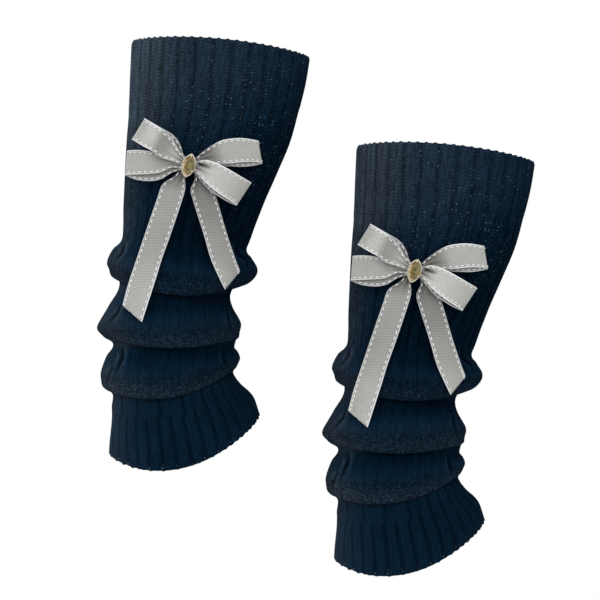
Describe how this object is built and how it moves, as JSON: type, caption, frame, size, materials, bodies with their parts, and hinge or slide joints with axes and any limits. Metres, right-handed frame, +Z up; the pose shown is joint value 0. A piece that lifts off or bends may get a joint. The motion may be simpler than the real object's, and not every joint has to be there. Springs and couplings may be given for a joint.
{
  "type": "pair of knitted leg-warmer boot cuffs",
  "caption": "Pair of hollow cable-knit boot cuffs slouched into folds, with a ribbed top, a flared ribbed hem and a stitched ribbon bow with a set stone on the front.",
  "frame": {"origin": "middle of the left cuff's top rib, where the wearer's calf holds the cuff; left and right are as the front is seen", "axes": "+X to the right as seen from the front, +Y from the front with the bows towards the back, +Z up the leg"},
  "size_m": [0.3068, 0.1279, 0.3763],
  "materials": {
    "navy_knit": "soft matt acrylic knit",
    "grey_ribbon": "ribbed grosgrain ribbon, slight sheen",
    "gold_setting": "polished pale gold plate",
    "champagne_stone": "glossy faceted resin stone"
  },
  "bodies": {
    "root": {"left_cabled_leg": "navy_knit", "left_top_rib": "navy_knit", "left_hem_rib": "navy_knit", "left_rising_loops": "grey_ribbon", "left_falling_loops": "grey_ribbon", "left_tail_left": "grey_ribbon", "left_tail_right": "grey_ribbon", "left_setting": "gold_setting", "left_stone": "champagne_stone", "right_cabled_leg": "navy_knit", "right_top_rib": "navy_knit", "right_hem_rib": "navy_knit", "right_rising_loops": "grey_ribbon", "right_falling_loops": "grey_ribbon", "right_tail_left": "grey_ribbon", "right_tail_right": "grey_ribbon", "right_setting": "gold_setting", "right_stone": "champagne_stone"}
  },
  "joints": []
}
